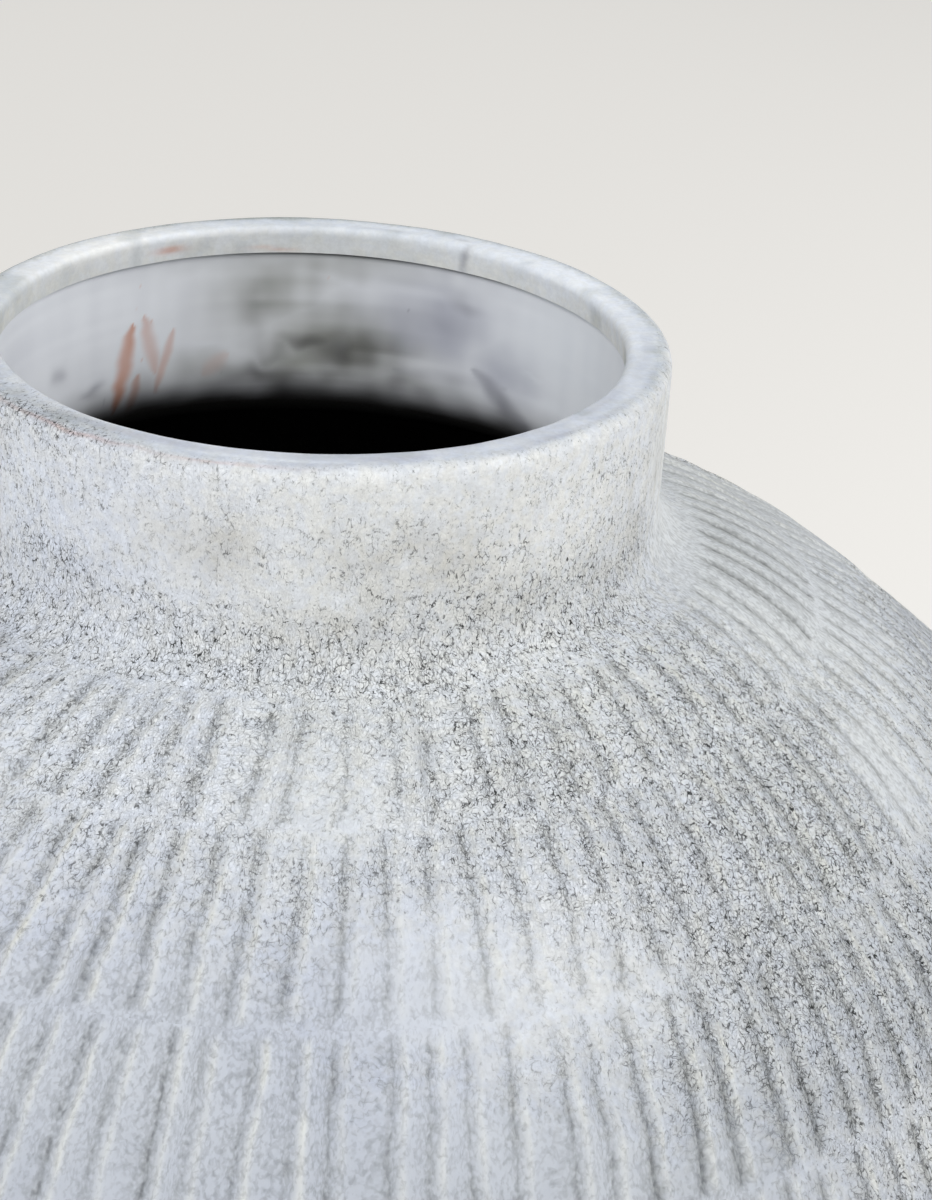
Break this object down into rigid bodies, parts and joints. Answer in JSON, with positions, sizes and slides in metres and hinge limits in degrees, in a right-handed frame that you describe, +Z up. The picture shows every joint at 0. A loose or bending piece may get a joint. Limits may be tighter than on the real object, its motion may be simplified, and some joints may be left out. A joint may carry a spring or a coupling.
{
  "type": "flower pot",
  "caption": "Wide-bellied whitewashed terracotta flower pot with a short straight neck, fluted wall bands and a drain hole in its base.",
  "frame": {"origin": "on the floor under the middle of the pot, in the plane of the foot ring's underside", "axes": "+Z up along the pot's axis; the pot is round, so +X and +Y are free, and -Y faces the picture's camera"},
  "size_m": [0.5438, 0.5438, 0.486],
  "materials": {
    "fluted_wall": "matte crackled grey-white wash over fluted terracotta",
    "washed_neck": "matte smooth grey-white wash with fine specks over terracotta",
    "bare_clay": "matte bare terracotta with a thin pale wash",
    "dark_clay": "matte dark sealed terracotta inside"
  },
  "bodies": {
    "root": {"foot_ring": "bare_clay", "base_slab": "bare_clay", "base_seam_coil": "dark_clay", "wall_band_01": "fluted_wall", "wall_band_02": "fluted_wall", "wall_band_03": "fluted_wall", "wall_band_04": "fluted_wall", "wall_band_05": "fluted_wall", "wall_band_06": "fluted_wall", "wall_band_07": "fluted_wall", "wall_band_08": "fluted_wall", "wall_band_09": "fluted_wall", "wall_band_10": "fluted_wall", "neck_collar": "washed_neck", "rim_ring": "washed_neck"}
  },
  "joints": []
}
